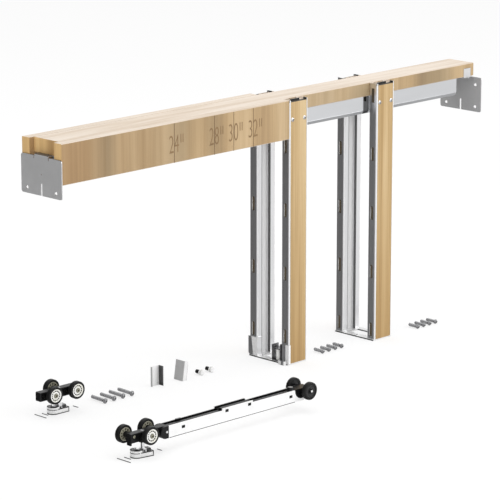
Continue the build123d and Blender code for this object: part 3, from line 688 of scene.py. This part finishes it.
def doorBrackets():
    # looks: 0 pale walls, 1 grey sheet on top, 2 painted shade for the dark outlines and round the latch, 3 grey
    # edge of the rim
    look = {"left": -20.5, "right": 13.5, "half": 9.7, "height": 8.4, "rim": 11.4, "rimEnd": -6.0, "wall": 1.3,
            "foot": 1.6, "cap": (6.9, 8.0), "proud": 0.12, "turns": {"a": 0.0, "b": -10.0}, "bevel": 0.2,
            "rimLap": 1.0, "rimEdge": (0.3, 0.5), "rimBevel": 0.3, "rimTab": 0.6, "capStart": 2.0, "corner": 1.7,
            "topSheet": (7.1, 8.2), "topEnd": 0.3,
            # the latch's slabs: x, y, z, bevel and look
            "latch": (((0.5, 11.5), (-4.0, 4.0), (7.9, 11.5), 0.4, 2),
                      ((1.1, 10.9), (-3.4, 3.4), (8.4, 12.4), 0.5, 1),
                      ((-1.7, 1.9), (-5.5, 5.5), (8.4, 10.0), 0.4, 2),
                      ((10.5, 11.9), (-4.2, 4.2), (8.4, 11.2), 0.3, 2))}
    half, wall, high, rim, right = look["half"], look["wall"], look["height"], look["rim"], look["right"]
    nose = look["left"] + half
    rimEnd, foot, cap, bevel = look["rimEnd"], look["foot"], look["cap"], look["bevel"]
    bold = half + look["proud"]
    edgeWall, edgeHigh = look["rimEdge"]
    for name, turn in look["turns"].items():
        finishList = [extraFinishes[key] for key in ("paleSheet", "screwSteel", "shadeSheet", "greySheet")]
        piece = Piece(f"doorBracket_{name}", "fastener_steel", finishList)
        place = hangerPlace(name) @ turned("Z", turn)
        curl = place @ at(nose)
        piece.add(band(half, wall, 0, rim), curl)
        piece.add(band(bold, wall, 0, foot), curl, 2)
        piece.add(band(bold, wall, *cap), curl, 2)
        piece.add(band(bold, wall + edgeWall, rim - edgeHigh, rim), curl, 3)
        for side in (-1, 1):
            wallY = sorted((side * half, side * (half - wall)))
            boldY = sorted((side * bold, side * (half - wall)))
            # the wall and the rim, then the rim's end, and the foot line, the cap line and the corner in painted
            # shade
            piece.add(slab((nose, right), wallY, (0, high), bevel), place)
            piece.add(slab((nose, rimEnd), wallY, (high - look["rimLap"], rim), look["rimBevel"]), place)
            piece.add(slab((rimEnd - look["rimTab"], rimEnd), boldY, (high, rim), bevel), place, 3)
            piece.add(slab((nose, right), boldY, (0, foot), bevel), place, 2)
            piece.add(slab((nose + look["capStart"], right), boldY, (cap[0], high), bevel), place, 2)
            piece.add(slab((right - look["corner"], right), boldY, (0, high), bevel), place, 2)
        inside = half - wall
        piece.add(slab((nose, right - look["topEnd"]), (-inside, inside), look["topSheet"]), place, 1)
        piece.add(lathe(corners(0, inside, *look["topSheet"])), curl, 1)
        piece.add(slab((right - wall, right), (-half, half), (0, high), look["rimBevel"]), place, 2)
        for x, y, z, softness, finish in look["latch"]:
            piece.add(slab(x, y, z, softness), place, finish)
        piece.close("frame", f"door_bracket_{name}")


def looseGuides():
    # looks: 0 pale walls, 1 grey folded legs, 2 painted shade on an inner face
    look = {"high": 33.0, "sheet": 1.2, "bevel": 0.25, "fold": 0.3,
            "first": {"x": (-265.9, -247.4), "y": 27.4, "lip": 3.2, "leg": 11.0, "inner": 0.4},
            "second": {"place": (-209.5, 22.5), "wide": 19.9, "leg": 9.0, "lean": 9.0, "foot": 1.2, "edge": 27.0,
                       "rim": (0.5, 0.1)}}
    sheet, high, fold, bevel = look["sheet"], look["high"], look["fold"], look["bevel"]
    piece = Piece("looseGuides", "fastener_steel",
                  [extraFinishes["paleSheet"], extraFinishes["greySheet"], extraFinishes["shadeSheet"]])
    one = look["first"]
    left, right = one["x"]
    y, inner = one["y"], one["inner"]
    legStart = y - one["leg"]
    piece.add(slab((left, right), (y - sheet, y), (0, high), bevel), still)
    piece.add(slab((left, left + sheet), (y - one["lip"], y - fold), (0, high), bevel), still, 1)
    piece.add(slab((right - sheet, right), (legStart, y - fold), (0, high), bevel), still, 1)
    piece.add(slab(about(right - sheet, inner), (legStart + inner, y - sheet), (inner, high - inner)), still, 2)
    two = look["second"]
    half = two["wide"] / 2
    leg = (-half, sheet - half)
    tilt = at(*two["place"]) @ turned("Y", two["lean"])
    piece.add(slab((0, sheet), (-half, half), (0, high), bevel), tilt, 1)
    piece.add(slab((sheet - fold, two["leg"]), leg, (two["foot"], high), bevel), tilt)
    rimWide, proud = two["rim"]
    rimX = (two["leg"] - rimWide, two["leg"])
    piece.add(slab(rimX, (leg[0] - proud, leg[1]), (two["foot"], two["edge"]), proud), tilt, 1)
    piece.close("frame", "loose_guides")


def armDetails():
    # small parts seen on the soft-close arm: the line along its foot, plugs, a screw, a stop and a knob
    look = {"start": 43.5, "length": 284.0, "bottom": 19.8, "side": -10.0, "top": 38.5,
            "foot": {"ends": (1.0, 20.0), "y": (-0.06, 0.3), "high": 0.9},
            "plugs": ((0.103, 11.8), (0.419, 17.6), (0.586, 17.5), (0.899, 10.8)),
            "plug": {"long": 6.4, "tall": 4.4, "y": (-0.35, 0.5), "bevel": 0.25},
            "screw": (40.0, 29.7), "dome": [(0.0, 0.9), (1.3, 0.75), (2.0, 0.1), (2.0, -0.2)],
            "stop": {"share": 0.094, "x": (0.2, 8.8), "y": (2.5, 5.5), "z": (40.5, 41.2), "bevel": 0.2},
            "knob": {"share": 0.923, "y": -1.7, "cap": [(0.0, 4.85), (3.4, 4.85), (3.9, 4.6)]}}
    place = hangerPlace("b")
    side, start, bottom = look["side"], look["start"], look["bottom"]
    piece = Piece("armDetails", "black_plastic", [finishes["black_plastic"], extraFinishes["greyPlastic"],
                                                  extraFinishes["brightSteel"]])
    foot = look["foot"]
    ends = (start + foot["ends"][0], start + look["length"] - foot["ends"][1])
    piece.add(slab(ends, [side + y for y in foot["y"]], (bottom, bottom + foot["high"])), place)
    plug = look["plug"]
    for share, height in look["plugs"]:
        x = about(start + share * look["length"], plug["long"])
        z = about(bottom + height, plug["tall"])
        piece.add(slab(x, [side + y for y in plug["y"]], z, plug["bevel"]), place)
    x, z = look["screw"]
    piece.add(lathe(look["dome"], steps=24), place @ at(x, side, z) @ turned("X", 90), 2)
    stop = look["stop"]
    x = start + stop["share"] * look["length"]
    piece.add(slab([x + edge for edge in stop["x"]], stop["y"], stop["z"], stop["bevel"]), place, 1)
    knob = look["knob"]
    x = start + knob["share"] * look["length"]
    piece.add(lathe(knob["cap"], steps=28), place @ at(x, knob["y"], look["top"]), 1)
    piece.close("frame")


def bumpers():
    look = {"places": ((-162.9, 28.0), (-139.4, 29.0)), "height": 4.6,
            "stem": [(0.0, 0.0), (2.7, 0.0), (3.3, 0.6), (3.3, 7.6), (2.7, 8.2), (2.7, 9.2), (0.0, 9.2)],
            "head": [(0.0, 8.8), (3.9, 8.8), (4.5, 9.4), (4.5, 11.4), (4.2, 12.4), (4.5, 13.2), (4.3, 14.6),
                     (3.2, 15.7), (1.6, 16.0), (0.0, 16.0)],
            "ring": [(4.3, 12.2), (4.62, 12.5), (4.62, 13.1), (4.3, 13.4)]}
    piece = Piece("bumpers", "bumper_rubber",
                  [finishes["bumper_rubber"], extraFinishes["clearHead"], extraFinishes["greyRivet"]])
    for x, y in look["places"]:
        place = at(x, y, look["height"]) @ turned("X", 90)
        piece.add(lathe(look["stem"], steps=28), place)
        piece.add(lathe(look["head"], steps=32), place, 1)
        piece.add(lathe(look["ring"], steps=32), place, 2)
    piece.close("frame", "loose_bumpers")


sizeMarks()
topSlotShades()
studScrews()
looseScrews()
wheels()
rearWheels()
rivets()
doorBrackets()
looseGuides()
armDetails()
bumpers()
print("pieces made")


def stage():
    look = {"size": 14.0, "drop": 0.0002, "keepShadow": 0.35, "floorTone": 0.92, "floorWhite": 1.03,
            "lightStrength": 0.85, "towardsBack": (-0.7071, 0.7071, 0.0), "below": (-0.35, -0.65), "underTone": 0.42,
            # what metal mirrors, from the front round to the back
            "around": ((0.0, 0.80), (0.35, 0.90), (0.62, 0.95), (0.80, 0.30), (0.88, 0.12), (1.0, 0.10))}
    pureWhite = (1.0, 1.0, 1.0)
    bpy.ops.mesh.primitive_plane_add(size=look["size"], location=(0, 0, -look["drop"]))
    floor = bpy.context.object
    floor.name = "floor"
    f = Finish("floorPaper")
    paper = f.node("BsdfDiffuse", {}, {"Color": (look["floorTone"],) * 3})
    white = f.node("Emission", {}, {"Color": pureWhite, "Strength": look["floorWhite"]})
    clear = f.node("BsdfTransparent")
    isCamera = f.node("LightPath", out="Is Camera Ray")
    isGlossy = f.node("LightPath", out="Is Glossy Ray")
    seen = f.node("MixShader", {}, {0: look["keepShadow"], 1: white, 2: paper})
    seen = f.node("MixShader", {}, {0: isCamera, 1: paper, 2: seen})
    surface = f.node("MixShader", {}, {0: isGlossy, 1: seen, 2: clear})
    f.node("OutputMaterial", {}, {"Surface": surface})
    floor.data.materials.append(f.material)

    world = bpy.context.scene.world or bpy.data.worlds.new("studio")
    bpy.context.scene.world = world
    world.use_nodes = True
    w = Finish("studio", world.node_tree)
    direction = w.node("TexCoord", out="Generated")
    lean = w.node("VectorMath", {"operation": "DOT_PRODUCT"}, {0: direction, 1: look["towardsBack"]}, out="Value")
    around = w.ramp(w.span(lean, -1.0, 1.0), [(place, (value,) * 3) for place, value in look["around"]])
    upward = w.node("SeparateXYZ", {}, {0: direction}, out="Z")
    mirror = w.blend(w.span(upward, *look["below"]), around, (look["underTone"],) * 3)
    isCamera = w.node("LightPath", out="Is Camera Ray")
    isGlossy = w.node("LightPath", out="Is Glossy Ray")
    plain = w.node("Background", {}, {"Color": pureWhite, "Strength": look["lightStrength"]})
    backdrop = w.node("Background", {}, {"Color": pureWhite, "Strength": 1.0})
    shown = w.node("Background", {}, {"Color": mirror, "Strength": 1.0})
    lit = w.node("MixShader", {}, {0: isGlossy, 1: plain, 2: shown})
    surface = w.node("MixShader", {}, {0: isCamera, 1: lit, 2: backdrop})
    w.node("OutputWorld", {}, {"Surface": surface})


def lamp(name, place, target, size, power):
    data = bpy.data.lights.new(name, "AREA")
    data.shape = "SQUARE"
    data.size = size
    data.energy = power
    made = bpy.data.objects.new(name, data)
    bpy.context.scene.collection.objects.link(made)
    aim = Vector(target) - Vector(place)
    made.matrix_world = Matrix.Translation(place) @ aim.to_track_quat("-Z", "Y").to_matrix().to_4x4()


def camera():
    shot = {"place": (-3.2352, -3.1261, 1.28837), "pitch": 13.7908, "azimuth": 45.3867, "focalPixels": 2809.52,
            "imagePixels": 500.0, "sensor": 36.0, "farthest": 60}
    data = bpy.data.cameras.new("camera")
    data.sensor_width = shot["sensor"]
    data.lens = shot["sensor"] * shot["focalPixels"] / shot["imagePixels"]
    data.clip_end = shot["farthest"]
    made = bpy.data.objects.new("camera", data)
    made.location = shot["place"]
    made.rotation_euler = (radians(90 - shot["pitch"]), 0, -radians(shot["azimuth"]))
    bpy.context.scene.collection.objects.link(made)
    bpy.context.scene.camera = made


stage()
lamp("overhead", (0.2, -0.2, 3.2), (0, 0, 0.2), size=2.6, power=34)
lamp("frontRight", (2.2, -3.0, 1.6), (0, 0, 0.25), size=2.2, power=30)
camera()
bpy.context.scene.view_settings.view_transform = "Standard"
print("stage, lamps and camera set")
